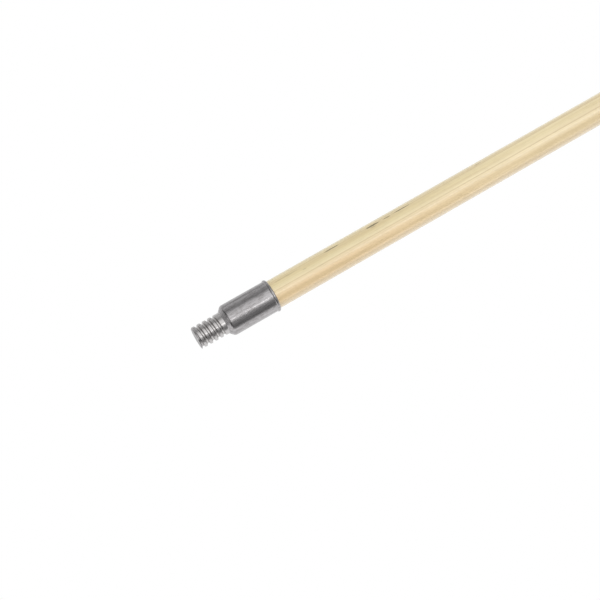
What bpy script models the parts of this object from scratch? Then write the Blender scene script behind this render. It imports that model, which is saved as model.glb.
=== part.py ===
"""Roller extension pole: a one-piece wooden pole with a threaded metal tip.

The pole lies along +X with +Z up. The origin is the centre of the tip's small end face, which
goes first into a roller handle, and the wood runs away from it to the butt end at POLE_LENGTH.
Every piece is turned about the same line, so each is drawn upright along its own Z and the
empty "pole_axis" lays them all down along +X. All sizes are in metres.
"""

import math

import bmesh
import bpy

# The pole
POLE_LENGTH = 1.2192  # 48 inches, from the tip's end face to the butt
POLE_RADIUS = 0.0127  # a 1 inch pole
BUTT_EDGE_RADIUS = 0.003

# The threaded tip, in order from its end face
TIP_LENGTH = 0.0736
THREAD_RADIUS = 0.00985  # 3/4 inch nominal, cast a little full over the crests
THREAD_PITCH = 0.00508  # 5 threads to the inch
THREAD_DEPTH = 0.0018
THREAD_FLANK_ANGLE = math.radians(14.5)
THREAD_SHIFT = 0.0004  # where the crest's middle passes the underside, from the end face
CREST_WIDTH = 0.0025
GROOVE_OVERSHOOT = 0.0007  # how far the groove's cutter stands out past the crests
END_FACE_RADIUS = 0.0074
NOSE_LENGTH = 0.0011
RUN_OUT_START = 0.0216  # from here the groove grows shallower, up to its end
THREAD_END = 0.0252
SHOULDER_START = 0.0262
SHOULDER_END = 0.0300
SHOULDER_RADIUS = 0.0100
BODY_RADIUS = 0.0139
SHOULDER_FILLET = 0.0038
BEAD_WIDTH = 0.0026
BEAD_RADIUS = 0.01475
MOUTH_CHAMFER = 0.0006

# The joint inside the tip
GAP = 0.0003  # clearance kept between touching pieces
SOCKET_DEPTH = 0.040
TENON_RADIUS = 0.0109
TENON_CHAMFER = 0.0010
GLUE_THICKNESS = 0.0004
SOCKET_RADIUS = TENON_RADIUS + GLUE_THICKNESS + 2 * GAP
SOCKET_FLOOR = TIP_LENGTH - SOCKET_DEPTH

# The nail through the tip's wall into the wood
NAIL_PLACE = 0.052
NAIL_SHANK_RADIUS = 0.0009
NAIL_HEAD_RADIUS = 0.0021
NAIL_HEAD_THICKNESS = 0.0005
NAIL_DEPTH = 0.0100  # how far the point reaches below the tip's outer surface
NAIL_POINT_LENGTH = 0.0022
NAIL_POINT_RADIUS = 0.0002

# Fineness of the round pieces
TIP_SIDES = 56
POLE_SIDES = 48
NAIL_SIDES = 16
THREAD_SIDES = 40
ARC_STEP = math.radians(18)
SHARP_ANGLE = math.radians(32)  # edges steeper than this stay crisp

NAIL_TURN = (0, math.pi / 2, 0)


def clear_scene():
    for item in list(bpy.data.objects):
        bpy.data.objects.remove(item, do_unlink=True)


def new_collection(name):
    collection = bpy.data.collections.new(name)
    bpy.context.scene.collection.children.link(collection)
    return collection


def new_material(name, colour, roughness, metallic):
    material = bpy.data.materials.new(name)
    material.use_nodes = True
    shader = material.node_tree.nodes["Principled BSDF"]
    shader.inputs["Base Color"].default_value = (*colour, 1)
    shader.inputs["Roughness"].default_value = roughness
    shader.inputs["Metallic"].default_value = metallic
    return material


def arc(centre, radius, start, end, height=None):
    """Points of an arc in the (radius, along) plane; height makes it part of an ellipse."""
    height = radius if height is None else height
    steps = max(2, math.ceil(abs(end - start) / ARC_STEP))
    angles = [start + (end - start) * step / steps for step in range(steps + 1)]
    return [(centre[0] + radius * math.cos(a), centre[1] + height * math.sin(a)) for a in angles]


def profile_mesh(name, points, closed=False):
    """A line of edges through (radius, along) points, in the XZ plane."""
    mesh = bpy.data.meshes.new(name)
    edges = [(i, i + 1) for i in range(len(points) - 1)]
    if closed:
        edges.append((len(points) - 1, 0))
    mesh.from_pydata([(radius, 0, along) for radius, along in points], edges, [])
    return mesh


def screw(item, sides, angle=2 * math.pi, offset=0.0):
    """A Screw modifier that turns the item's profile about its own Z."""
    modifier = item.modifiers.new("turned", "SCREW")
    modifier.angle = angle
    modifier.screw_offset = offset
    modifier.steps = sides
    modifier.render_steps = sides
    modifier.use_merge_vertices = offset == 0
    modifier.merge_threshold = 0.00001
    return modifier


def turned(name, points, sides, closed=False):
    """An object turned from a profile that runs down its outer side, then made a plain mesh."""
    item = bpy.data.objects.new(name, profile_mesh(name, points, closed))
    screw(item, sides)
    return item


def made_solid(item, cap_ends=False):
    """Applies the item's modifiers, closes the two ends of a swept shape and turns faces out."""
    bpy.context.scene.collection.objects.link(item)
    graph = bpy.context.evaluated_depsgraph_get()
    mesh = bpy.data.meshes.new_from_object(item.evaluated_get(graph))
    bpy.context.scene.collection.objects.unlink(item)
    item.modifiers.clear()
    shape = bmesh.new()
    shape.from_mesh(mesh)
    if cap_ends:
        bmesh.ops.holes_fill(shape, edges=[edge for edge in shape.edges if edge.is_boundary])
    bmesh.ops.recalc_face_normals(shape, faces=shape.faces)
    shape.to_mesh(mesh)
    shape.free()
    item.data = mesh
    return item


def place(item, collection, parent, location=(0, 0, 0), rotation=(0, 0, 0)):
    collection.objects.link(item)
    item.parent = parent
    item.location = location
    item.rotation_euler = rotation


def cut(item, cutter, name):
    modifier = item.modifiers.new(name, "BOOLEAN")
    modifier.operation = "DIFFERENCE"
    modifier.solver = "EXACT"
    modifier.object = cutter


def finish(item, material):
    item.data.shade_smooth()
    item.data.set_sharp_from_angle(angle=SHARP_ANGLE)
    item.data.materials.clear()
    item.data.materials.append(material)


def shoulder_fillet():
    """The rounded corner where the sloping shoulder meets the round body."""
    run = BODY_RADIUS - SHOULDER_RADIUS
    slope = math.atan2(run, SHOULDER_END - SHOULDER_START)
    centre = (
        BODY_RADIUS - SHOULDER_FILLET,
        SHOULDER_END + SHOULDER_FILLET * math.tan(slope / 2),
    )
    return arc(centre, SHOULDER_FILLET, 0, -slope)


def tip_profile():
    """The tip's outline: up the inside of its socket, then down its outer side to the end face."""
    bead_middle = TIP_LENGTH - BEAD_WIDTH / 2
    bead = arc(
        (BODY_RADIUS, bead_middle),
        BEAD_RADIUS - BODY_RADIUS,
        math.pi / 2,
        -math.pi / 2,
        BEAD_WIDTH / 2,
    )
    nose = arc(
        (END_FACE_RADIUS, NOSE_LENGTH),
        THREAD_RADIUS - END_FACE_RADIUS,
        0,
        -math.pi / 2,
        NOSE_LENGTH,
    )
    return [
        (0, SOCKET_FLOOR),
        (SOCKET_RADIUS, SOCKET_FLOOR),
        (SOCKET_RADIUS, TIP_LENGTH - MOUTH_CHAMFER),
        (SOCKET_RADIUS + MOUTH_CHAMFER, TIP_LENGTH),
        *bead,
        *shoulder_fillet(),
        (SHOULDER_RADIUS, SHOULDER_START),
        (THREAD_RADIUS, SHOULDER_START),
        *nose,
        (0, 0),
    ]


def run_out(groove):
    """Lifts the far end of the groove's floor outwards, up to the crest."""
    for vertex in groove.data.vertices:
        along = (vertex.co.z - RUN_OUT_START) / (THREAD_END - RUN_OUT_START)
        rise = THREAD_DEPTH * min(max(along, 0), 1)
        radius = vertex.co.xy.length
        vertex.co.xy *= (radius + rise) / radius


def thread_groove():
    """The right-hand groove between the thread's crests, as a solid that is cut from the tip."""
    root = THREAD_RADIUS - THREAD_DEPTH
    top = THREAD_RADIUS + GROOVE_OVERSHOOT
    groove_at_crest = THREAD_PITCH - CREST_WIDTH

    def half_width(radius):
        return groove_at_crest / 2 - (THREAD_RADIUS - radius) * math.tan(THREAD_FLANK_ANGLE)

    start = THREAD_SHIFT - THREAD_PITCH / 2
    section = [
        (top, start + half_width(top)),
        (top, start - half_width(top)),
        (root, start - half_width(root)),
        (root, start + half_width(root)),
    ]
    turns = (THREAD_END - start) / THREAD_PITCH
    groove = bpy.data.objects.new("thread_groove", profile_mesh("thread_groove", section, True))
    screw(groove, round(turns * THREAD_SIDES), turns * 2 * math.pi, turns * THREAD_PITCH)
    made_solid(groove, cap_ends=True)
    run_out(groove)
    return groove


def nail_hole(name):
    """A clearance hole for the nail, from outside the tip to just past the nail's point."""
    radius = NAIL_SHANK_RADIUS + GAP
    bottom = BODY_RADIUS - NAIL_DEPTH - GAP
    points = [(0, BEAD_RADIUS), (radius, BEAD_RADIUS), (radius, bottom), (0, bottom)]
    return made_solid(turned(name, points, NAIL_SIDES))


def nail_profile():
    """A flat head on a round shank with a tapered point; along is the distance from the pole's axis."""
    seat = BODY_RADIUS + GAP
    point = BODY_RADIUS - NAIL_DEPTH
    return [
        (0, seat + NAIL_HEAD_THICKNESS),
        (NAIL_HEAD_RADIUS, seat + NAIL_HEAD_THICKNESS),
        (NAIL_HEAD_RADIUS, seat),
        (NAIL_SHANK_RADIUS, seat),
        (NAIL_SHANK_RADIUS, point + NAIL_POINT_LENGTH),
        (NAIL_POINT_RADIUS, point),
        (0, point),
    ]


def pole_profile():
    """The wood's outline: rounded butt, straight pole, then the slimmer tenon inside the tip."""
    tenon_end = SOCKET_FLOOR + GAP
    wood_start = TIP_LENGTH + GAP
    butt_centre = (POLE_RADIUS - BUTT_EDGE_RADIUS, POLE_LENGTH - BUTT_EDGE_RADIUS)
    return [
        (0, POLE_LENGTH),
        *arc(butt_centre, BUTT_EDGE_RADIUS, math.pi / 2, 0),
        (POLE_RADIUS, wood_start),
        (TENON_RADIUS, wood_start),
        (TENON_RADIUS, tenon_end + TENON_CHAMFER),
        (TENON_RADIUS - TENON_CHAMFER, tenon_end),
        (0, tenon_end),
    ]


def glue_profile():
    """A thin sleeve of set adhesive between the tenon and the socket's wall."""
    inner = TENON_RADIUS + GAP
    outer = inner + GLUE_THICKNESS
    top = TIP_LENGTH - MOUTH_CHAMFER - GAP
    bottom = SOCKET_FLOOR + TENON_CHAMFER + GAP
    return [(inner, top), (outer, top), (outer, bottom), (inner, bottom)]


def build():
    clear_scene()
    parts = new_collection("roller_extension_pole")
    cutters = new_collection("cutters")
    cutters.hide_render = True

    zinc = new_material("tip_metal", (0.55, 0.55, 0.56), 0.28, 1.0)
    wood = new_material("pole_wood", (0.80, 0.66, 0.44), 0.50, 0.0)
    glue = new_material("glue", (0.78, 0.68, 0.45), 0.45, 0.0)
    steel = new_material("nail_steel", (0.60, 0.60, 0.61), 0.35, 1.0)

    axis = bpy.data.objects.new("pole_axis", None)
    axis.rotation_euler = (0, math.pi / 2, 0)
    parts.objects.link(axis)

    groove = thread_groove()
    hole = nail_hole("nail_hole")
    place(groove, cutters, axis)
    place(hole, cutters, axis, (0, 0, NAIL_PLACE), NAIL_TURN)
    for cutter in cutters.objects:
        cutter.hide_render = True
        cutter.display_type = "WIRE"

    tip = made_solid(turned("threaded_tip", tip_profile(), TIP_SIDES))
    pole = made_solid(turned("wood_pole", pole_profile(), POLE_SIDES))
    glue_line = made_solid(turned("glue_line", glue_profile(), POLE_SIDES, closed=True))
    nail = made_solid(turned("retaining_nail", nail_profile(), NAIL_SIDES))

    cut(tip, groove, "thread")
    for item in (tip, pole, glue_line):
        cut(item, hole, "nail hole")
        place(item, parts, axis)
    place(nail, parts, axis, (0, 0, NAIL_PLACE), NAIL_TURN)

    finish(tip, zinc)
    finish(pole, wood)
    finish(glue_line, glue)
    finish(nail, steel)


build()
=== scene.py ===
"""Looks for a roller extension pole: a pale wooden pole with a cast metal tip, threaded at its end.

The pole lies along +X from the tip's end face, with +Z up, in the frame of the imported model. Every
visible piece is a numpy surface built in place, and each finish is a procedural material.
"""

from __future__ import annotations

import logging
import math
from dataclasses import dataclass
from enum import Enum

import bpy
import numpy as np
from mathutils import Matrix, Vector


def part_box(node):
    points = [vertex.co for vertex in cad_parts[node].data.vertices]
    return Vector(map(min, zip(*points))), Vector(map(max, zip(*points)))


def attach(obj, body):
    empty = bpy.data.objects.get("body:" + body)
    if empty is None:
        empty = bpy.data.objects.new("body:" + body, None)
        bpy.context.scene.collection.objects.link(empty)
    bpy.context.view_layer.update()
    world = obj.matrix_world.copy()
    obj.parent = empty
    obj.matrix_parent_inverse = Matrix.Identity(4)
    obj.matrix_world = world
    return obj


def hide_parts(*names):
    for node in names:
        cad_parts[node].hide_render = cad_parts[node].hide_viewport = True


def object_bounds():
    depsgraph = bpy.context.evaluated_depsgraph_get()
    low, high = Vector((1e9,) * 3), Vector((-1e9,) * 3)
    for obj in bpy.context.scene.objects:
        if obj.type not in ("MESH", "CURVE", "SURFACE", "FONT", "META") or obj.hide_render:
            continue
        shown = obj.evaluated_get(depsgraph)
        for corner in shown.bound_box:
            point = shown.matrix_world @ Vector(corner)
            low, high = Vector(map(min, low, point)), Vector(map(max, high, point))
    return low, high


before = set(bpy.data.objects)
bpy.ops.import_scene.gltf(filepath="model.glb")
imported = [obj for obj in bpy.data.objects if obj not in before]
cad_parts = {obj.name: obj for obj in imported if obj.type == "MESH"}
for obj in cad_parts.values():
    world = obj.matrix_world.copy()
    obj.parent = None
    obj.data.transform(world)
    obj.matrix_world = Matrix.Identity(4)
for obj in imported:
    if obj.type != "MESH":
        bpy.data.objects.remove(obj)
cad_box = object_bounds()

LOG = logging.getLogger("roller_extension_pole")
MILLIMETRE = 0.001
Socket = bpy.types.NodeSocket
Value = float | Socket
Colour = tuple[float, float, float]
Triple = tuple[float, float, float]


class Slot(Enum):
    """The record's material slots, one named for each built piece's finish."""

    TIP = "tip_metal"
    POLE = "pole_wood"
    NAIL = "nail_steel"


class Blend(Enum):
    """How one colour is laid over another."""

    COVER = "MIX"
    DARKEN = "MULTIPLY"


# ------------------------ surfaces


def smooth_step(low: float, high: float, value: np.ndarray) -> np.ndarray:
    """A ramp from 0 at low to 1 at high that leaves and arrives level: 3u^2 - 2u^3.

    Args:
        low: Where the ramp starts.
        high: Where the ramp ends.
        value: The numbers to look up.

    Returns:
        The ramp's height at each number.
    """
    share = np.clip((value - low) / (high - low), 0.0, 1.0)
    return share * share * (3.0 - 2.0 * share)


def soft_minimum(first: np.ndarray, second: np.ndarray, reach: float) -> np.ndarray:
    """The smaller of two heights, with the crease between them rounded over a reach.

    Where they differ by less than the reach, a parabola joins them: the minimum less
    (reach - difference)^2 / (4 reach).

    Args:
        first: One height.
        second: The other height.
        reach: The difference at which rounding starts.

    Returns:
        The rounded minimum.
    """
    near = np.clip(reach - np.abs(first - second), 0.0, None)
    return np.minimum(first, second) - near * near / (4.0 * reach)


def soft_maximum(first: np.ndarray, second: np.ndarray, reach: float) -> np.ndarray:
    """The larger of two heights, with the crease between them filled over a reach."""
    return -soft_minimum(-first, -second, reach)


def filleted(corners: list[tuple[float, float, float]], step: float = 0.16) -> np.ndarray:
    """An outline through corners, each rounded by an arc of its own radius.

    At a corner where the outline turns by an angle a, an arc of radius R touches both sides at
    R tan(a/2) from the corner.

    Args:
        corners: (radius, along, fillet) of each corner, in metres.
        step: The angle between two points of an arc, in radians.

    Returns:
        The outline's (radius, along) points, one row each.
    """
    spots = np.array([corner[:2] for corner in corners])
    points = [spots[:1]]
    for before, spot, after, corner in zip(spots, spots[1:], spots[2:], corners[1:]):
        fillet = corner[2]
        if fillet == 0.0:
            points.append(spot[None])
            continue
        enter = (spot - before) / np.linalg.norm(spot - before)
        leave = (after - spot) / np.linalg.norm(after - spot)
        turn = math.acos(float(np.clip(enter @ leave, -1.0, 1.0)))
        inward = (leave - enter) / np.linalg.norm(leave - enter)
        centre = spot + inward * fillet / math.cos(turn / 2)
        sweep = np.linspace(-turn / 2, turn / 2, max(3, round(turn / step)))[:, None]
        along = (enter + leave) / np.linalg.norm(enter + leave)
        points.append(centre + fillet * (along * np.sin(sweep) - inward * np.cos(sweep)))
    points.append(spots[-1:])
    return np.concatenate(points)


def turned_points(outline: np.ndarray, sides: int) -> np.ndarray:
    """The points of an outline turned about the X axis.

    A point at radius r and place x goes round as (x, r sin a, -r cos a), so the angle a runs
    from the underside towards +Y, right-handed about +X.

    Args:
        outline: (radius, along) points.
        sides: How many points go round.

    Returns:
        An array of rows by sides by 3.
    """
    angle = np.arange(sides) * 2.0 * math.pi / sides
    radius, along = outline[:, :1], outline[:, 1:]
    across = radius * np.sin(angle)
    up = -radius * np.cos(angle)
    return np.stack([np.broadcast_to(along, across.shape), across, up], axis=-1)


def ring_faces(rows: int, sides: int, lead: int = 0) -> np.ndarray:
    """Triangles of a grid that closes round on itself.

    Row j's last column joins row j + lead's first column, so a lead of one pitch's rows makes
    the grid run along a screw thread.

    Args:
        rows: Rows of the grid.
        sides: Columns of the grid.
        lead: How many rows the grid climbs in one turn.

    Returns:
        Vertex numbers, three to a row.
    """
    row = np.arange(rows - 1 - lead)[:, None]
    column = np.arange(sides)[None, :]
    wraps = column == sides - 1
    beside = np.where(wraps, 0, column + 1)
    beside_row = row + np.where(wraps, lead, 0)
    here = row * sides + column
    above = (row + 1) * sides + column
    right = beside_row * sides + beside
    right_above = (beside_row + 1) * sides + beside
    low = np.stack([here, right, right_above], axis=-1).reshape(-1, 3)
    high = np.stack([here, right_above, above], axis=-1).reshape(-1, 3)
    return np.concatenate([low, high])


class Skin:
    """A closed surface put together from grids, then welded where their points meet."""

    WELD = 2e-7

    def __init__(self) -> None:
        """Starts with no points and no faces."""
        self.points: list[np.ndarray] = []
        self.faces: list[np.ndarray] = []
        self.count = 0

    def add(self, points: np.ndarray, faces: np.ndarray) -> None:
        """Adds one grid's points and triangles.

        Args:
            points: The grid's points, in any shape that ends in 3.
            faces: Triangles that number those points.
        """
        flat = points.reshape(-1, 3)
        self.points.append(flat)
        self.faces.append(faces + self.count)
        self.count += len(flat)

    def add_turned(self, outline: np.ndarray, sides: int) -> None:
        """Adds an outline turned about the X axis."""
        self.add(turned_points(outline, sides), ring_faces(len(outline), sides))

    def welded(self) -> tuple[np.ndarray, np.ndarray]:
        """Merges points that meet and drops triangles with no area.

        Returns:
            The points, and the triangles facing outwards.
        """
        points = np.concatenate(self.points)
        faces = np.concatenate(self.faces)
        keys = np.round(points / self.WELD).astype(np.int64)
        _, first, index = np.unique(keys, axis=0, return_index=True, return_inverse=True)
        faces = index.reshape(-1)[faces]
        faces = faces[(faces != np.roll(faces, 1, axis=1)).all(axis=1)]
        corners = points[first][faces]
        if np.linalg.det(corners).sum() < 0.0:
            faces = faces[:, ::-1]
        return points[first], faces

    def as_object(self, name: str, sharp_angle: float = 40.0) -> bpy.types.Object:
        """Makes the Blender object, smooth except at edges sharper than an angle.

        Args:
            name: The object's name.
            sharp_angle: In degrees.

        Returns:
            The object, linked to the scene.
        """
        points, faces = self.welded()
        mesh = bpy.data.meshes.new(name)
        mesh.vertices.add(len(points))
        mesh.vertices.foreach_set("co", points.astype(np.float32).ravel())
        mesh.loops.add(faces.size)
        mesh.loops.foreach_set("vertex_index", faces.astype(np.int32).ravel())
        mesh.polygons.add(len(faces))
        mesh.polygons.foreach_set("loop_start", np.arange(0, faces.size, 3, dtype=np.int32))
        mesh.update(calc_edges=True)
        mesh.validate()
        mesh.shade_smooth()
        mesh.set_sharp_from_angle(angle=math.radians(sharp_angle))
        item = bpy.data.objects.new(name, mesh)
        bpy.context.scene.collection.objects.link(item)
        return item


def fitted(
    item: bpy.types.Object, material: bpy.types.Material, slot: Slot, *nodes: str
) -> bpy.types.Object:
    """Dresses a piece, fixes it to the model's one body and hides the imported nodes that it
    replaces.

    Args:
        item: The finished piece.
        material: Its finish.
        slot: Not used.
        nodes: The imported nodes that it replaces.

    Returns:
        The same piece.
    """
    item.data.materials.append(material)
    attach(item, "root")
    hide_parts(*nodes)
    return item


# ------------------------ materials


@dataclass(frozen=True)
class Grain:
    """A cloudy pattern: how many clouds to a metre along the pole and across it, and how fine."""

    along: float
    across: float
    detail: float = 2.0
    roughness: float = 0.5


@dataclass(frozen=True)
class Layer:
    """A colour that a pattern lays over another: none of it at low, its full share at high."""

    colour: Colour
    low: float
    high: float
    share: float


@dataclass(frozen=True)
class Swing:
    """A number that follows a pattern: start where the pattern is at low, end where it's at high."""

    low: float
    high: float
    start: float
    end: float


class NodeGraph:
    """Short ways to add nodes to a shader tree."""

    def __init__(self, tree: bpy.types.NodeTree, coordinates: str) -> None:
        """Keeps the tree, and the coordinates that its patterns start from."""
        self.tree = tree
        self.place: Socket = self.node("ShaderNodeTexCoord").outputs[coordinates]

    def node(self, kind: str, **settings: object) -> bpy.types.Node:
        """Adds a node and sets its properties.

        Args:
            kind: The node's type.
            settings: Its properties, by name.

        Returns:
            The node.
        """
        made = self.tree.nodes.new(kind)
        for name, value in settings.items():
            setattr(made, name, value)
        return made

    def feed(self, target: Socket, source: object) -> None:
        """Links a socket to a target, or sets the target's own value.

        Args:
            target: The input that is fed.
            source: A socket, or the value itself.
        """
        if isinstance(source, bpy.types.NodeSocket):
            self.tree.links.new(source, target)
        else:
            target.default_value = source

    def math(self, operation: str, *values: Value) -> Socket:
        """A Math node's result.

        Args:
            operation: The node's operation.
            values: Its inputs, in order.

        Returns:
            The result.
        """
        made = self.node("ShaderNodeMath", operation=operation)
        for target, value in zip(made.inputs, values):
            self.feed(target, value)
        return made.outputs[0]

    def axes(self, vector: Socket) -> tuple[Socket, Socket, Socket]:
        """A vector's three parts.

        Args:
            vector: The vector.

        Returns:
            X, Y and Z.
        """
        made = self.node("ShaderNodeSeparateXYZ")
        self.feed(made.inputs[0], vector)
        return tuple(made.outputs)

    def ramp(self, share: Socket, stops: tuple[tuple[float, float], ...]) -> Socket:
        """A grey that runs softly through stops.

        Args:
            share: Where on the ramp, from 0 to 1.
            stops: Each stop's place on the ramp and its grey.

        Returns:
            The grey, as a colour.
        """
        made = self.node("ShaderNodeValToRGB")
        made.color_ramp.interpolation = "B_SPLINE"
        for number, (place, grey) in enumerate(stops):
            if number < 2:
                stop = made.color_ramp.elements[number]
                stop.position = place
            else:
                stop = made.color_ramp.elements.new(place)
            stop.color = (grey, grey, grey, 1.0)
        self.feed(made.inputs[0], share)
        return made.outputs[0]

    def mapped(self, scale: Triple, centre: Triple = (0.0, 0.0, 0.0)) -> Socket:
        """The object's own coordinates, measured from a centre and stretched.

        Args:
            scale: How many units a metre becomes along each axis.
            centre: The point that becomes zero.

        Returns:
            The new coordinates: (place - centre) times scale.
        """
        moved = self.node("ShaderNodeVectorMath", operation="SUBTRACT")
        self.feed(moved.inputs[0], self.place)
        moved.inputs[1].default_value = centre
        made = self.node("ShaderNodeVectorMath", operation="MULTIPLY")
        self.feed(made.inputs[0], moved.outputs[0])
        made.inputs[1].default_value = scale
        return made.outputs[0]

    def length(self, vector: Socket) -> Socket:
        """A vector's length.

        Args:
            vector: The vector.

        Returns:
            The length.
        """
        made = self.node("ShaderNodeVectorMath", operation="LENGTH")
        self.feed(made.inputs[0], vector)
        return made.outputs["Value"]

    def noise(self, vector: Socket, detail: float = 2.0, roughness: float = 0.5) -> Socket:
        """Cloudy noise from 0 to 1, one unit of the coordinates to a cloud.

        Args:
            vector: The coordinates.
            detail: How many finer layers are added.
            roughness: How strong each finer layer is.

        Returns:
            The noise.
        """
        made = self.node("ShaderNodeTexNoise")
        self.feed(made.inputs["Vector"], vector)
        made.inputs["Scale"].default_value = 1.0
        made.inputs["Detail"].default_value = detail
        made.inputs["Roughness"].default_value = roughness
        return made.outputs["Fac"]

    def grained(self, grain: Grain) -> Socket:
        """A grain's pattern, from 0 to 1."""
        scale = (grain.along, grain.across, grain.across)
        return self.noise(self.mapped(scale), grain.detail, grain.roughness)

    def cells(self, vector: Socket) -> Socket:
        """The distance to the nearest of a scatter of points, one unit apart.

        Args:
            vector: The coordinates.

        Returns:
            The distance.
        """
        made = self.node("ShaderNodeTexVoronoi", feature="F1")
        self.feed(made.inputs["Vector"], vector)
        made.inputs["Scale"].default_value = 1.0
        return made.outputs["Distance"]

    def spread(
        self, value: Socket, low: float, high: float, start: float = 0.0, end: float = 1.0
    ) -> Socket:
        """Maps low..high to start..end with soft ends, and holds it there outside.

        Args:
            value: What is mapped.
            low: The value that gives start.
            high: The value that gives end.
            start: The result at low.
            end: The result at high.

        Returns:
            The mapped value.
        """
        made = self.node("ShaderNodeMapRange", interpolation_type="SMOOTHSTEP")
        for target, number in zip(made.inputs, (value, low, high, start, end)):
            self.feed(target, number)
        return made.outputs["Result"]

    def mixed(
        self, share: Value, under: Colour | Socket, over: Colour | Socket, blend: Blend = Blend.COVER
    ) -> Socket:
        """One colour laid over another.

        Args:
            share: How much of the upper colour shows, from 0 to 1.
            under: The lower colour.
            over: The upper colour.
            blend: How it is laid on.

        Returns:
            The resulting colour.
        """
        made = self.node("ShaderNodeMix", data_type="RGBA", blend_type=blend.value)
        self.feed(made.inputs[0], share)
        for target, colour in zip(made.inputs[6:8], (under, over)):
            self.feed(target, (*colour, 1.0) if isinstance(colour, tuple) else colour)
        return made.outputs[2]

    def laid(self, under: Colour | Socket, layer: Layer, pattern: Socket) -> Socket:
        """A colour with a layer over it, as much of it as the pattern says."""
        share = self.spread(pattern, layer.low, layer.high, 0.0, layer.share)
        return self.mixed(share, under, layer.colour)

    def swung(self, pattern: Socket, swing: Swing) -> Socket:
        """A swing's number, as the pattern says."""
        return self.spread(pattern, swing.low, swing.high, swing.start, swing.end)

    def bump(self, height: Socket, depth: float, under: Socket | None = None) -> Socket:
        """A normal that follows a height from 0 to 1, depth metres deep.

        Args:
            height: The height.
            depth: How deep a height of 1 is, in metres.
            under: A normal that this one adds to.

        Returns:
            The normal.
        """
        made = self.node("ShaderNodeBump")
        made.inputs["Strength"].default_value = 1.0
        made.inputs["Distance"].default_value = depth
        self.feed(made.inputs["Height"], height)
        if under is not None:
            self.feed(made.inputs["Normal"], under)
        return made.outputs["Normal"]


class Shader(NodeGraph):
    """A new material, its patterns on the object's own coordinates."""

    def __init__(self, name: str) -> None:
        """Makes the material, with its Principled shader.

        Args:
            name: The material's name.
        """
        self.material = bpy.data.materials.new(name)
        self.material.use_nodes = True
        super().__init__(self.material.node_tree, "Object")
        self.surface = self.tree.nodes["Principled BSDF"]

    def set(self, **values: object) -> None:
        """Feeds the Principled shader's sockets, named with underscores for spaces.

        Args:
            values: Each socket's source or value.
        """
        for name, value in values.items():
            if isinstance(value, tuple) and len(value) == 3:
                value = (*value, 1.0)
            self.feed(self.surface.inputs[name.replace("_", " ")], value)

    def shine(self, light: Value) -> None:
        """Makes the surface give white light and reflect none."""
        self.set(Base_Color=(0.0, 0.0, 0.0), Roughness=1.0, Specular_IOR_Level=0.0)
        self.set(Emission_Color=(1.0, 1.0, 1.0), Emission_Strength=light)


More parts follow.
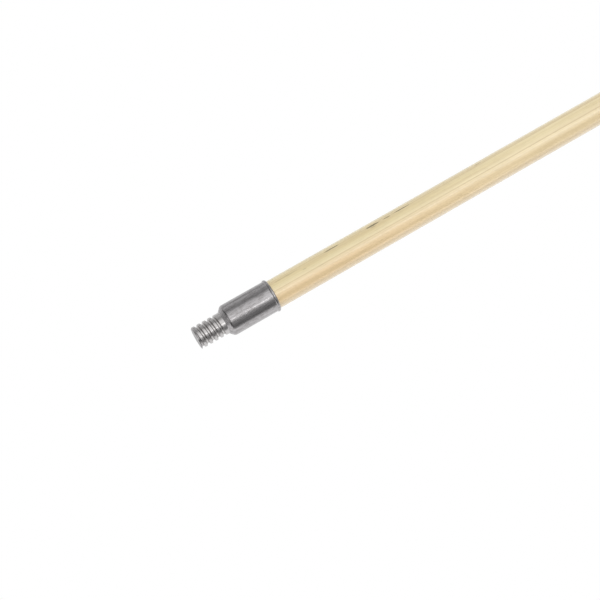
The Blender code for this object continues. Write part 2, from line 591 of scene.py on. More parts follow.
@dataclass(frozen=True)
class CastMetal:
    """Bare cast metal, tumbled bright: fine lines along it and small dings, with painted light on the
    thread: its colour is paler there to lift its shade, and paler still in its roots.

    The thread's part of the tip is told by its radius, and the paler thread colour starts behind the
    nose.
    """

    colour: Colour = (0.343, 0.332, 0.337)
    stained: Layer = Layer((0.185, 0.175, 0.172), 0.42, 0.62, 0.55)
    rubbed: Layer = Layer((0.44, 0.43, 0.435), 0.5, 0.68, 0.5)
    # Painted light: the thread's paler colour, which lifts the shade it takes.
    painted_thread_light: Colour = (0.475, 0.462, 0.457)
    painted_thread_light_share: float = 0.85
    painted_thread_light_from: float = 3.5 * MILLIMETRE
    # Painted light: a paler colour in the thread's roots, where shade falls.
    painted_hollow_light_colour: Colour = (0.60, 0.585, 0.57)
    painted_hollow_light_share: float = 0.15
    hollow_roughness: float = 0.10
    roughness: float = 0.20
    root_radius: float = 8.1 * MILLIMETRE
    crest_radius: float = 9.7 * MILLIMETRE
    neck_radius: float = 10.6 * MILLIMETRE
    lines: Grain = Grain(70.0, 1500.0, 3.0, 0.6)
    line_roughness: Swing = Swing(0.3, 0.75, -0.05, 0.08)
    line_depth: float = 0.020 * MILLIMETRE
    streaks: Grain = Grain(26.0, 620.0, 2.0, 0.55)
    streak_depth: float = 0.03 * MILLIMETRE
    clouds: Grain = Grain(230.0, 620.0, 4.0, 0.7)
    cloud_roughness: Swing = Swing(0.35, 0.7, -0.03, 0.06)
    cloud_depth: float = 0.06 * MILLIMETRE
    dings: Triple = (330.0, 560.0, 560.0)
    ding_form: Swing = Swing(0.05, 0.35, 0.0, 1.0)
    ding_depth: float = 0.015 * MILLIMETRE

    def material(self, name: str) -> bpy.types.Material:
        """Builds the finish.

        Args:
            name: The material's name.

        Returns:
            The material.
        """
        shader = Shader(name)
        along, _, _ = shader.axes(shader.place)
        from_axis = shader.length(shader.mapped((0.0, 1.0, 1.0)))
        hollow = shader.spread(from_axis, self.root_radius, self.crest_radius, 1.0, 0.0)
        neck = shader.spread(from_axis, self.crest_radius, self.neck_radius, 1.0, 0.0)
        behind_nose = shader.spread(along, 0.0, self.painted_thread_light_from, 0.0, self.painted_thread_light_share)
        lines = shader.grained(self.lines)
        streaks = shader.grained(self.streaks)
        clouds = shader.grained(self.clouds)
        dings = shader.cells(shader.mapped(self.dings))

        colour = shader.laid(self.colour, self.stained, clouds)
        colour = shader.laid(colour, self.rubbed, streaks)
        # Painted light: the thread behind the nose is coloured paler to lift its shade.
        colour = shader.mixed(shader.math("MULTIPLY", neck, behind_nose), colour, self.painted_thread_light)
        # Painted light: the thread's roots are coloured paler still, against the shade in them.
        painted_hollow_light = shader.math("MULTIPLY", hollow, self.painted_hollow_light_share)
        colour = shader.mixed(painted_hollow_light, colour, self.painted_hollow_light_colour)

        rough = shader.math("ADD", shader.swung(lines, self.line_roughness), self.roughness)
        rough = shader.math("MULTIPLY_ADD", hollow, self.hollow_roughness, rough)
        rough = shader.math("ADD", rough, shader.swung(clouds, self.cloud_roughness))
        normal = shader.bump(lines, self.line_depth)
        normal = shader.bump(streaks, self.streak_depth, normal)
        normal = shader.bump(clouds, self.cloud_depth, normal)
        normal = shader.bump(shader.swung(dings, self.ding_form), self.ding_depth, normal)
        shader.set(Base_Color=colour, Roughness=rough, Normal=normal, Metallic=1.0)
        return shader.material


@dataclass(frozen=True)
class Fleck:
    """One dark mineral streak in the wood's surface.

    Its turn is in degrees round the pole, from straight up towards +Y.
    """

    start: float
    end: float
    turn: float
    width: float
    strength: float


@dataclass(frozen=True)
class PaleWood:
    """Pale straight-grained wood under a thin satin coat.

    It is straw-coloured with a warmer side towards -Y, and a little paler away from the tip. Its edge
    towards -Y is coloured darker as painted shade.
    """

    straw: Colour = (0.86, 0.73, 0.415)
    peach: Colour = (0.955, 0.715, 0.41)
    late_wood: Colour = (0.66, 0.49, 0.24)
    mineral: Colour = (0.17, 0.125, 0.035)
    paler: Layer = Layer((1.0, 0.85, 0.53), 0.12, 0.36, 0.55)
    # Painted shade: the pole's edge towards -Y is coloured darker.
    painted_edge_shade: Layer = Layer((0.70, 0.55, 0.33), -0.0105, -0.0126, 0.8)
    blotched: Layer = Layer(late_wood, 0.4, 0.7, 0.15)
    banded: Layer = Layer(late_wood, 0.38, 0.66, 0.38)
    fibrous: Layer = Layer(late_wood, 0.4, 0.75, 0.20)
    porous: Layer = Layer(mineral, 0.66, 0.78, 0.30)
    peach_from: float = -6.0 * MILLIMETRE
    straw_from: float = 2.0 * MILLIMETRE
    hue_wander: float = 4.0 * MILLIMETRE
    pith: tuple[float, float] = (0.090, 0.0)
    ring_spacing: float = 2.97 * MILLIMETRE
    ring_shift: float = 1.23
    ring_wander: float = 0.5
    weak_width: float = 0.45
    weak_share: float = 0.15
    strong_every: float = 3.0
    strong_width: float = 0.16
    strong_share: float = 0.60
    dark_from: float = 0.3
    dark_to: float = 0.2
    wander: Grain = Grain(2.2, 30.0)
    fibres: Grain = Grain(22.0, 1700.0, 3.0, 0.6)
    fibre_roughness: Swing = Swing(0.3, 0.8, 0.42, 0.56)
    fibre_depth: float = 0.035 * MILLIMETRE
    bands: Grain = Grain(5.0, 330.0, 2.0, 0.55)
    pores: Grain = Grain(110.0, 3800.0, 1.0)
    pore_form: Swing = Swing(0.62, 0.8, 1.0, 0.0)
    pore_depth: float = 0.03 * MILLIMETRE
    ragged: Grain = Grain(160.0, 900.0)
    raggedness: float = 1.1
    blotches: Grain = Grain(28.0, 120.0, 3.0, 0.6)
    coat_roughness: float = 0.20
    coat_index: float = 1.75
    radius: float = 12.7 * MILLIMETRE
    fleck_edge: tuple[float, float] = (0.35, 1.15)
    fleck_taper: float = 3.0
    flecks: tuple[Fleck, ...] = (
        Fleck(0.1265, 0.1430, 30.0, 0.85 * MILLIMETRE, 0.85),
        Fleck(0.1690, 0.1830, 29.5, 1.10 * MILLIMETRE, 1.00),
        Fleck(0.1720, 0.1790, 21.0, 0.60 * MILLIMETRE, 0.35),
        Fleck(0.1865, 0.1945, 29.0, 0.90 * MILLIMETRE, 0.65),
        Fleck(0.1955, 0.2145, 30.5, 0.80 * MILLIMETRE, 0.85),
        Fleck(0.0760, 0.1020, 22.3, 0.90 * MILLIMETRE, 0.22),
        Fleck(0.1040, 0.1085, 8.6, 0.70 * MILLIMETRE, 0.22),
        Fleck(0.2810, 0.2890, 40.4, 1.20 * MILLIMETRE, 0.25),
        Fleck(0.5120, 0.5330, -148.0, 0.70 * MILLIMETRE, 0.60),
        Fleck(0.8410, 0.8530, 96.0, 0.60 * MILLIMETRE, 0.55),
    )

    def fleck_mask(self, shader: Shader, fleck: Fleck, ragged: Socket) -> Socket:
        """How strongly one streak shows: 1 on its line, falling to 0 at its width and its ends.

        Args:
            shader: The material in hand.
            fleck: The streak.
            ragged: Noise that breaks its edges.

        Returns:
            The mask, from 0 to the streak's strength.
        """
        turn = math.radians(fleck.turn)
        middle = (fleck.start + fleck.end) / 2.0
        centre = (middle, self.radius * math.sin(turn), self.radius * math.cos(turn))
        off_line = shader.length(shader.mapped((0.0, 1.0 / fleck.width, 1.0 / fleck.width), centre))
        half = (fleck.end - fleck.start) / 2.0
        off_middle = shader.length(shader.mapped((1.0 / half, 0.0, 0.0), centre))
        taper = shader.math("POWER", off_middle, self.fleck_taper)
        distance = shader.math("ADD", off_line, taper)
        distance = shader.math("SUBTRACT", distance, self.raggedness / 2.0)
        distance = shader.math("MULTIPLY_ADD", ragged, self.raggedness, distance)
        return shader.spread(distance, *self.fleck_edge, fleck.strength, 0.0)

    def ring_line(self, shader: Shader, phase: Socket, width: float) -> Socket:
        """The dark line at the end of each year's ring: it fades in slowly and out quickly.

        Args:
            shader: The material in hand.
            phase: How many rings out from the pith.
            width: The line's share of a ring.

        Returns:
            The line's darkness, from 0 to 1.
        """
        ring = shader.math("FRACT", phase)
        rise = shader.spread(ring, 1.0 - width, 1.0 - self.dark_from * width)
        fall = shader.spread(ring, 1.0 - self.dark_to * width, 1.0, 1.0, 0.0)
        return shader.math("MULTIPLY", rise, fall)

    def material(self, name: str) -> bpy.types.Material:
        """Builds the finish.

        Growth rings are shells round a pith line outside the pole, so they run as long bands on
        its side and as arcs on its end. Fibres and pores are noise stretched along the pole.

        Args:
            name: The material's name.

        Returns:
            The material.
        """
        shader = Shader(name)
        along, across, _ = shader.axes(shader.place)
        from_pith = shader.length(shader.mapped((0.0, 1.0, 1.0), (0.0, *self.pith)))
        phase = shader.math("MULTIPLY_ADD", from_pith, 1.0 / self.ring_spacing, self.ring_shift)
        wander = shader.grained(self.wander)
        phase = shader.math("MULTIPLY_ADD", wander, self.ring_wander, phase)
        weak = self.ring_line(shader, phase, self.weak_width)
        slower = shader.math("DIVIDE", phase, self.strong_every)
        strong = self.ring_line(shader, slower, self.strong_width)
        fibres = shader.grained(self.fibres)
        pores = shader.grained(self.pores)
        ragged = shader.grained(self.ragged)
        blotches = shader.grained(self.blotches)

        hue = shader.math("MULTIPLY_ADD", blotches, self.hue_wander, across)
        peach = shader.spread(hue, self.peach_from, self.straw_from, 1.0, 0.0)
        colour = shader.mixed(peach, self.straw, self.peach)
        colour = shader.laid(colour, self.paler, along)
        # Painted shade on the pole's edge towards -Y.
        colour = shader.laid(colour, self.painted_edge_shade, across)
        weak = shader.math("MULTIPLY", weak, self.weak_share)
        colour = shader.mixed(weak, colour, self.late_wood)
        strong = shader.math("MULTIPLY", strong, self.strong_share)
        colour = shader.mixed(strong, colour, self.late_wood)
        colour = shader.laid(colour, self.blotched, blotches)
        colour = shader.laid(colour, self.banded, shader.grained(self.bands))
        colour = shader.laid(colour, self.fibrous, fibres)
        colour = shader.laid(colour, self.porous, pores)
        for fleck in self.flecks:
            mask = self.fleck_mask(shader, fleck, ragged)
            colour = shader.mixed(mask, colour, self.mineral)

        rough = shader.swung(fibres, self.fibre_roughness)
        normal = shader.bump(fibres, self.fibre_depth)
        normal = shader.bump(shader.swung(pores, self.pore_form), self.pore_depth, normal)
        shader.set(Base_Color=colour, Roughness=rough, Normal=normal)
        shader.set(Coat_Weight=1.0, Coat_Roughness=self.coat_roughness, Coat_IOR=self.coat_index)
        return shader.material


@dataclass(frozen=True)
class BrightSteel:
    """Bright drawn steel, with fine marks over it."""

    colour: Colour = (0.52, 0.51, 0.50)
    dulled: Layer = Layer((0.33, 0.31, 0.29), 0.4, 0.7, 0.35)
    clouds: Grain = Grain(500.0, 500.0)
    marks: Triple = (2600.0, 2600.0, 500.0)
    mark_roughness: Swing = Swing(0.3, 0.75, 0.24, 0.42)
    mark_depth: float = 0.01 * MILLIMETRE

    def material(self, name: str) -> bpy.types.Material:
        """Builds the finish.

        Args:
            name: The material's name.

        Returns:
            The material.
        """
        shader = Shader(name)
        marks = shader.noise(shader.mapped(self.marks), 3.0, 0.6)
        colour = shader.laid(self.colour, self.dulled, shader.grained(self.clouds))
        rough = shader.swung(marks, self.mark_roughness)
        shader.set(Base_Color=colour, Roughness=rough, Metallic=1.0)
        shader.set(Normal=shader.bump(marks, self.mark_depth))
        return shader.material


@dataclass(frozen=True)
class SetGlue:
    """Yellowish wood glue, set hard."""

    colour: Colour = (0.70, 0.55, 0.28)
    darker: Layer = Layer((0.58, 0.43, 0.20), 0.3, 0.7, 1.0)
    ripple: Grain = Grain(400.0, 400.0, 3.0)
    ripple_roughness: Swing = Swing(0.3, 0.7, 0.3, 0.5)
    ripple_depth: float = 0.05 * MILLIMETRE

    def material(self, name: str) -> bpy.types.Material:
        """Builds the finish.

        Args:
            name: The material's name.

        Returns:
            The material.
        """
        shader = Shader(name)
        ripple = shader.grained(self.ripple)
        colour = shader.laid(self.colour, self.darker, ripple)
        rough = shader.swung(ripple, self.ripple_roughness)
        normal = shader.bump(ripple, self.ripple_depth)
        shader.set(Base_Color=colour, Roughness=rough, Normal=normal)
        return shader.material


# ------------------------ pieces


@dataclass(frozen=True)
class ThreadForm:
    """A right-hand screw thread with rounded crests and roots, its nose and its run-out."""

    pitch: float = 5.08 * MILLIMETRE
    crest_radius: float = 9.85 * MILLIMETRE
    depth: float = 1.8 * MILLIMETRE
    crest_width: float = 2.5 * MILLIMETRE
    shift: float = 0.4 * MILLIMETRE
    flank_angle: float = math.radians(14.5)
    rounding: float = 0.30 * MILLIMETRE
    nose_radius: float = 7.8 * MILLIMETRE
    nose_length: float = 1.0 * MILLIMETRE
    nose_rounding: float = 0.5 * MILLIMETRE
    run_in: float = 3.0 * MILLIMETRE
    run_out_start: float = 21.6 * MILLIMETRE
    run_out_end: float = 24.8 * MILLIMETRE

    def tooth(self, offset: np.ndarray) -> np.ndarray:
        """The tooth's height from root (0) to crest (1), at an offset along from its middle.

        It is a smooth ramp across the flank, which runs depth tan(flank angle) along the thread,
        widened by the rounding at both ends.

        Args:
            offset: Place along the pole from the tooth's middle.

        Returns:
            The height at each place.
        """
        flank = self.depth * math.tan(self.flank_angle)
        edge = self.crest_width / 2.0
        return 1.0 - smooth_step(edge - self.rounding, edge + flank + self.rounding, np.abs(offset))

    def nose(self, along: np.ndarray) -> np.ndarray:
        """The largest radius that the rounded nose leaves: a quarter ellipse from the end face.

        Args:
            along: Place along the pole.

        Returns:
            The radius at each place.
        """
        left = np.clip(1.0 - along / self.nose_length, 0.0, 1.0)
        rise = self.crest_radius + 2.0 * self.nose_rounding - self.nose_radius
        return self.nose_radius + rise * np.sqrt(1.0 - left * left)

    def radius(self, along: np.ndarray, offset: np.ndarray) -> np.ndarray:
        """The thread's radius.

        The groove's depth grows over the run-in and shrinks to nothing over the run-out, and the
        nose caps the radius.

        Args:
            along: Place along the pole.
            offset: Place along the pole from the nearest crest's middle.

        Returns:
            The radius at each place.
        """
        depth = self.depth * (1.0 - smooth_step(self.run_out_start, self.run_out_end, along))
        depth = depth * smooth_step(-self.run_in, self.run_in, along)
        cut = self.crest_radius - depth * (1.0 - self.tooth(offset))
        return soft_minimum(cut, self.nose(along), self.nose_rounding)

    def grid(self, end: float, sides: int, rows_per_pitch: int) -> tuple[np.ndarray, np.ndarray]:
        """The thread's surface on a grid that climbs with the thread.

        Row j at angle a lies at shift + pitch (a / turn + j / rows), so a row keeps its place on
        the tooth all the way round. Points that would pass either end are held at that end.

        Args:
            end: Where the thread's cylinder meets the shoulder.
            sides: Columns round the axis.
            rows_per_pitch: Rows to one pitch.

        Returns:
            The points, and their triangles.
        """
        last = math.ceil(end / self.pitch) + 1
        row = np.arange(-2 * rows_per_pitch, last * rows_per_pitch + 1)[:, None] / rows_per_pitch
        angle = np.arange(sides)[None, :] * 2.0 * math.pi / sides
        along = self.shift + self.pitch * (angle / (2.0 * math.pi) + row)
        along = np.clip(along, 0.0, end)
        radius = self.radius(along, np.abs(row - np.round(row)) * self.pitch)
        points = np.stack([along, radius * np.sin(angle), -radius * np.cos(angle)], axis=-1)
        return points, ring_faces(len(row), sides, rows_per_pitch)


@dataclass(frozen=True)
class ThreadedTip:
    """The one-piece metal tip: thread, shoulder, round body, rear bead and blind socket."""

    length: float
    bead_radius: float
    thread: ThreadForm = ThreadForm()
    shoulder_start: float = 26.2 * MILLIMETRE
    shoulder_end: float = 30.0 * MILLIMETRE
    shoulder_fillet: float = 3.8 * MILLIMETRE
    shoulder_root: float = 0.9 * MILLIMETRE
    body_radius: float = 13.9 * MILLIMETRE
    bead_width: float = 2.6 * MILLIMETRE
    bead_fillet: float = 0.3 * MILLIMETRE
    socket_radius: float = 11.9 * MILLIMETRE
    socket_depth: float = 40.0 * MILLIMETRE
    mouth_chamfer: float = 0.6 * MILLIMETRE
    rim_round: float = 0.15 * MILLIMETRE
    mouth_round: float = 0.1 * MILLIMETRE
    floor_round: float = 0.5 * MILLIMETRE
    dish: float = 0.12 * MILLIMETRE
    sides: int = 160
    rows_per_pitch: int = 30
    bead_rows: int = 41
    first_row: float = 6.0 * MILLIMETRE
    last_row: float = 2.0 * MILLIMETRE

    @classmethod
    def from_frame(cls) -> ThreadedTip:
        """Takes the tip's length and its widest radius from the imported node."""
        _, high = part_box("threaded_tip")
        return cls(length=high.x, bead_radius=high.z)

    def bead(self, along: np.ndarray) -> np.ndarray:
        """The bead's radius: a half ellipse on the body, with its front foot filled.

        Args:
            along: Place along the pole.

        Returns:
            The radius at each place.
        """
        middle = self.length - self.bead_width / 2.0
        share = np.clip((along - middle) / (self.bead_width / 2.0), -1.0, 1.0)
        low = self.body_radius - self.bead_fillet
        ellipse = low + (self.bead_radius - low) * np.sqrt(1.0 - share * share)
        return soft_maximum(ellipse, np.full_like(along, self.body_radius), self.bead_fillet)

    def shoulder_outline(self) -> np.ndarray:
        """From the thread's end, up the rounded shoulder and along the body's rows to the bead.

        Returns:
            (radius, along) points.
        """
        crest = self.thread.crest_radius
        start = self.shoulder_start
        bead_start = self.length - self.bead_width - self.bead_fillet
        return filleted(
            [
                (crest, start - 1.5 * self.shoulder_root, 0.0),
                (crest, start, self.shoulder_root),
                (self.body_radius, self.shoulder_end, self.shoulder_fillet),
                (self.body_radius, self.shoulder_end + self.first_row, 0.0),
                (self.body_radius, (self.shoulder_end + bead_start) / 2.0, 0.0),
                (self.body_radius, bead_start - self.last_row, 0.0),
                (self.body_radius, bead_start, 0.0),
            ],
            step=0.05,
        )

    def bead_outline(self) -> np.ndarray:
        """Over the bead, with points closest together near its two feet.

        Returns:
            (radius, along) points.
        """
        start = self.length - self.bead_width - self.bead_fillet
        share = (1.0 - np.cos(np.linspace(0.0, math.pi, self.bead_rows))) / 2.0
        along = start + share * (self.length - start)
        return np.stack([self.bead(along), along], axis=-1)

    def socket_outline(self) -> np.ndarray:
        """From the bead's rear edge, over the mouth and down the blind socket to its floor.

        Returns:
            (radius, along) points.
        """
        rear = float(self.bead(np.array([self.length]))[0])
        floor = self.length - self.socket_depth
        mouth = self.socket_radius + self.mouth_chamfer
        return filleted(
            [
                (rear, self.length, 0.0),
                (mouth, self.length, self.rim_round),
                (self.socket_radius, self.length - self.mouth_chamfer, self.mouth_round),
                (self.socket_radius, floor, self.floor_round),
                (0.0, floor, 0.0),
            ]
        )

    def end_face_outline(self) -> np.ndarray:
        """The small end face, very slightly dished, from its centre to the nose.

        Returns:
            (radius, along) points.
        """
        share = np.array([0.0, 0.35, 0.7, 0.86, 0.95, 1.0])
        along = self.dish * (1.0 - smooth_step(0.7, 1.0, share))
        return np.stack([share * self.thread.nose_radius, along], axis=-1)

    def build(self) -> bpy.types.Object:
        """Builds and dresses the tip.

        Returns:
            The tip.
        """
        skin = Skin()
        skin.add_turned(self.end_face_outline(), self.sides)
        shoulder = self.shoulder_outline()
        skin.add(*self.thread.grid(float(shoulder[0, 1]), self.sides, self.rows_per_pitch))
        skin.add_turned(shoulder, self.sides)
        skin.add_turned(self.bead_outline(), self.sides)
        skin.add_turned(self.socket_outline(), self.sides)
        tip = skin.as_object("threaded_tip_cast")
        return fitted(tip, CastMetal().material("cast_metal"), Slot.TIP, "threaded_tip")


@dataclass(frozen=True)
class WoodPole:
    """The turned pole: rounded butt, straight side, and the tenon inside the tip."""

    start: float
    end: float
    radius: float
    tip_end: float
    butt_round: float = 3.0 * MILLIMETRE
    butt_ring: float = 0.4
    tenon_radius: float = 10.9 * MILLIMETRE
    tenon_chamfer: float = 1.0 * MILLIMETRE
    joint_gap: float = 0.04 * MILLIMETRE
    front_round: float = 0.15 * MILLIMETRE
    tenon_root: float = 0.2 * MILLIMETRE
    row_spacing: float = 12.0 * MILLIMETRE
    sides: int = 144

    @classmethod
    def from_frame(cls) -> WoodPole:
        """Takes the pole's ends and radius, and the tip's rear end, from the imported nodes.

        Returns:
            The pole, ready to build.
        """
        low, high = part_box("wood_pole")
        _, tip_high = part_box("threaded_tip")
        return cls(start=low.x, end=high.x, radius=high.z, tip_end=tip_high.x)

    def outline(self) -> np.ndarray:
        """From the tenon's end, out to the full pole behind the tip, and along to the butt.

        Returns:
            (radius, along) points.
        """
        front = self.tip_end + self.joint_gap
        stations = np.arange(front + self.row_spacing, self.end - self.butt_round, self.row_spacing)
        return filleted(
            [
                (0.0, self.start, 0.0),
                (self.tenon_radius, self.start, self.tenon_chamfer),
                (self.tenon_radius, front, self.tenon_root),
                (self.radius, front, self.front_round),
                *((self.radius, float(station), 0.0) for station in stations),
                (self.radius, self.end, self.butt_round),
                (self.radius * self.butt_ring, self.end, 0.0),
                (0.0, self.end, 0.0),
            ]
        )

    def build(self) -> bpy.types.Object:
        """Builds and dresses the pole.

        Returns:
            The pole.
        """
        skin = Skin()
        skin.add_turned(self.outline(), self.sides)
        pole = skin.as_object("wood_pole_turned")
        finish = PaleWood(radius=self.radius)
        return fitted(pole, finish.material("pale_wood"), Slot.POLE, "wood_pole")


@dataclass(frozen=True)
class RetainingNail:
    """The nail on the underside: a slightly domed head on a round, pointed shank."""

    along: float
    head_top: float
    head_radius: float
    point: float
    head_thickness: float = 0.5 * MILLIMETRE
    shank_radius: float = 0.9 * MILLIMETRE
    point_length: float = 2.2 * MILLIMETRE
    point_round: float = 0.3 * MILLIMETRE
    seat_round: float = 0.1 * MILLIMETRE
    edge_round: float = 0.12 * MILLIMETRE
    edge_drop: float = 0.15 * MILLIMETRE
    dome_height: float = 0.06 * MILLIMETRE
    dome_share: float = 0.85
    sides: int = 48

    @classmethod
    def from_frame(cls) -> RetainingNail:
        """Takes the nail's place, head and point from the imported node; it points up from below.

        Returns:
            The nail, ready to build.
        """
        low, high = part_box("retaining_nail")
        return cls(
            along=(low.x + high.x) / 2.0,
            head_top=-low.z,
            head_radius=(high.x - low.x) / 2.0,
            point=-high.z,
        )

    def outline(self) -> np.ndarray:
        """From the point to the middle of the head, depth growing outwards.

        Returns:
            (radius, depth) points.
        """
        seat = self.head_top - self.head_thickness
        side = filleted(
            [
                (0.0, self.point, 0.0),
                (self.shank_radius, self.point + self.point_length, self.point_round),
                (self.shank_radius, seat, self.seat_round),
                (self.head_radius, seat, self.edge_round),
                (self.head_radius, self.head_top - self.edge_drop, self.edge_round),
                (self.head_radius * self.dome_share, self.head_top - self.dome_height, 0.0),
            ]
        )
        share = np.array([0.7, 0.45, 0.2, 0.0])
        dome = self.head_top - self.dome_height * (share / self.dome_share) ** 2
        return np.concatenate([side, np.stack([share * self.head_radius, dome], axis=-1)])

    def build(self) -> bpy.types.Object:
        """Builds and dresses the nail, with its length turned from X to straight down.

        Returns:
            The nail.
        """
        upright = turned_points(self.outline(), self.sides)
        depth, across, out = upright[..., 0], upright[..., 1], upright[..., 2]
        placed = np.stack([self.along + across, out, -depth], axis=-1)
        skin = Skin()
        skin.add(placed, ring_faces(placed.shape[0], self.sides))
        nail = skin.as_object("retaining_nail_steel")
        return fitted(nail, BrightSteel().material("bright_steel"), Slot.NAIL, "retaining_nail")


class GlueLine:
    """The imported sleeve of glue, hidden in the socket, which only gets its finish."""

    def build(self) -> bpy.types.Object:
        """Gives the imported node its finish.

        Returns:
            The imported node.
        """
        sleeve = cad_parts["glue_line"]
        sleeve.data.materials.clear()
        sleeve.data.materials.append(SetGlue().material("set_glue"))
        return sleeve


# ------------------------ studio


@dataclass(frozen=True)
class LightTent:
    """A long light tent over the pole: soft bands of light that run along it, from side to side.

    A band's angle is in degrees from straight up, towards the camera's side (-Y), and its light
    is compared with the white of the table. The stretches named "over" are given by the X part
    of a direction, from -1 at the tip's end to 1 at the butt's.
    """

    bands: tuple[tuple[float, float], ...] = (
        (-90.0, 0.86),
        (-76.0, 0.74),
        (-60.0, 0.56),
        (-45.0, 0.40),
        (-36.0, 0.42),
        (-27.0, 0.80),
        (-18.0, 1.08),
        (-8.0, 1.22),
        (2.0, 1.42),
        (11.0, 1.24),
        (18.0, 1.16),
        (22.5, 1.30),
        (26.0, 4.00),
        (29.5, 1.15),
        (38.0, 0.84),
        (46.0, 0.50),
        (56.0, 0.36),
        (70.0, 0.27),
        (90.0, 0.22),
    )
    strength: float = 1.12
    dark_end: float = 0.25
    dark_over: tuple[float, float] = (-0.60, -0.42)
    light_foot: float = 0.75
    foot_over: tuple[float, float] = (-0.88, -0.70)
    far_end: float = 0.85
    far_over: tuple[float, float] = (0.5, 0.9)

    def build(self) -> None:
        """Makes the tent as the world's light: the ramp's grey for each direction's side angle.

        The side angle is atan2(-y, z). A dark stretch crosses the tent before the tip, and the
        light comes back at the foot of that end. The butt's end is a little darker.
        """
        world = bpy.data.worlds.new("light_tent")
        world.use_nodes = True
        graph = NodeGraph(world.node_tree, "Generated")
        along, across, up = graph.axes(graph.place)
        angle = graph.math("ARCTAN2", graph.math("MULTIPLY", across, -1.0), up)
        share = graph.math("MULTIPLY_ADD", angle, 1.0 / math.pi, 0.5)
        brightest = max(light for _, light in self.bands)
        stops = tuple((degrees / 180.0 + 0.5, light / brightest) for degrees, light in self.bands)
        grey = graph.ramp(share, stops)
        darker = graph.spread(along, *self.dark_over, self.dark_end, 1.0)
        foot = graph.spread(along, *self.foot_over, self.light_foot - self.dark_end, 0.0)
        far = graph.spread(along, *self.far_over, 1.0, self.far_end)
        ends = graph.math("MULTIPLY", graph.math("ADD", darker, foot), far)
        background = world.node_tree.nodes["Background"]
        graph.feed(background.inputs["Color"], graph.mixed(1.0, grey, ends, Blend.DARKEN))
        background.inputs["Strength"].default_value = brightest * self.strength
        bpy.context.scene.world = world


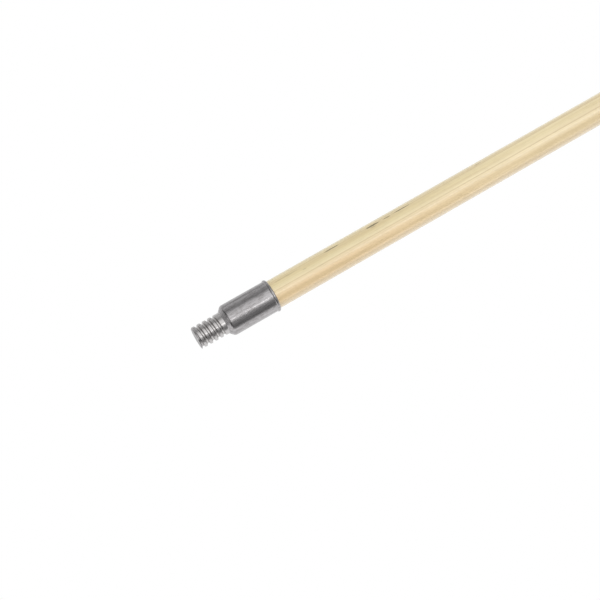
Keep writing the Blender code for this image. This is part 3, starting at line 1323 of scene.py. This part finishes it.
@dataclass(frozen=True)
class Studio:
    """A plain pale table in a pale room, under the light tent.

    The white table and room are only what the camera sees. A second table in the same place is
    what lights the pole from below, greyer beside the pole and on the side away from the camera.
    """

    size: float = 30.0
    near_light: float = 1.32
    far_light: float = 0.98
    edge_light: float = 0.45
    edge_over: tuple[float, float] = (60.0 * MILLIMETRE, 240.0 * MILLIMETRE)
    shade: float = 0.75
    shade_reach: float = 30.0 * MILLIMETRE
    room_rows: int = 25
    room_sides: int = 48

    def build(self, height: float) -> None:
        """Puts the tables at a height and the room round them, and lights the tent.

        Args:
            height: The lowest point of the object.
        """
        half = self.size / 2.0
        corners = [(-half, -half), (half, -half), (half, half), (-half, half)]
        for name, shows in (("table", True), ("table_glow", False)):
            mesh = bpy.data.meshes.new(name)
            mesh.from_pydata([(x, y, height) for x, y in corners], [], [(0, 1, 2, 3)])
            item = bpy.data.objects.new(name, mesh)
            bpy.context.scene.collection.objects.link(item)
            self.finish(item, self.glow() if not shows else 1.0, shows)
        self.finish(self.room(), 1.0, True)
        LightTent().build()

    def finish(
        self, item: bpy.types.Object, glow: float | bpy.types.Material, shows: bool
    ) -> None:
        """Gives a piece of the set its glow, and shows it to the camera alone or hides it there.

        Args:
            item: The piece.
            glow: Its light, even or as a finished material.
            shows: Whether it's for the camera.
        """
        if not isinstance(glow, bpy.types.Material):
            shader = Shader(f"pale_{item.name}")
            shader.shine(glow)
            glow = shader.material
        item.data.materials.append(glow)
        item.visible_camera = shows
        for kind in ("diffuse", "glossy", "transmission"):
            setattr(item, f"visible_{kind}", not shows)
        item.visible_shadow = False

    def glow(self) -> bpy.types.Material:
        """The lower table's light: the near or far side's, times the shade and the fall outwards.

        Returns:
            The material.
        """
        shader = Shader("table_glow")
        _, across, _ = shader.axes(shader.place)
        reach = self.shade_reach
        out = shader.math("ABSOLUTE", across)
        side = shader.spread(across, -reach, reach, self.near_light, self.far_light)
        beside = shader.spread(out, 0.0, reach, self.shade, 1.0)
        beyond = shader.spread(out, *self.edge_over, 1.0, self.edge_light)
        shader.shine(shader.math("MULTIPLY", side, shader.math("MULTIPLY", beside, beyond)))
        return shader.material

    def room(self) -> bpy.types.Object:
        """A ball round everything, as pale as the table.

        A point at angle a round and b up lies at radius (cos b cos a, cos b sin a, sin b).

        Returns:
            The ball.
        """
        up = np.linspace(-math.pi / 2.0, math.pi / 2.0, self.room_rows)[:, None]
        around = np.linspace(0.0, 2.0 * math.pi, self.room_sides, endpoint=False)[None, :]
        points = np.stack(
            [np.cos(up) * np.cos(around), np.cos(up) * np.sin(around), np.sin(up) + 0.0 * around],
            axis=-1,
        )
        skin = Skin()
        skin.add(self.size * points, ring_faces(self.room_rows, self.room_sides))
        return skin.as_object("room")


@dataclass(frozen=True)
class ViewCamera:
    """The camera: it looks steeply down at the tip, with the pole running away to the right."""

    aim: Triple = (0.0909, -0.0157, 0.0)
    distance: float = 1.1029
    turn: float = 31.46
    elevation: float = 69.47
    lens: float = 79.2
    sensor: float = 36.0
    sees: tuple[float, float] = (0.01, 100.0)

    def build(self) -> bpy.types.Object:
        """Places the camera: turned from +Y towards +X, looking down by the elevation.

        Returns:
            The camera.
        """
        turn, down = math.radians(self.turn), math.radians(self.elevation)
        level = math.cos(down)
        forward = Vector((math.sin(turn) * level, math.cos(turn) * level, -math.sin(down)))
        data = bpy.data.cameras.new("camera")
        data.lens = self.lens
        data.sensor_width = self.sensor
        data.clip_start, data.clip_end = self.sees
        camera = bpy.data.objects.new("camera", data)
        bpy.context.scene.collection.objects.link(camera)
        place = Vector(self.aim) - self.distance * forward
        facing = forward.to_track_quat("-Z", "Y").to_matrix().to_4x4()
        camera.matrix_world = Matrix.Translation(place) @ facing
        bpy.context.scene.camera = camera
        bpy.context.scene.view_settings.view_transform = "Standard"
        return camera


def main() -> None:
    """Builds the pieces in order, then the studio and the camera, and reports each one."""
    logging.basicConfig(level=logging.INFO, format="%(name)s: %(message)s")
    pieces = (
        ThreadedTip.from_frame(),
        WoodPole.from_frame(),
        RetainingNail.from_frame(),
        GlueLine(),
    )
    for piece in pieces:
        item = piece.build()
        LOG.info("%s: %d faces", item.name, len(item.data.polygons))
    Studio().build(cad_box[0][2])
    ViewCamera().build()


if __name__ == "__main__":
    main()
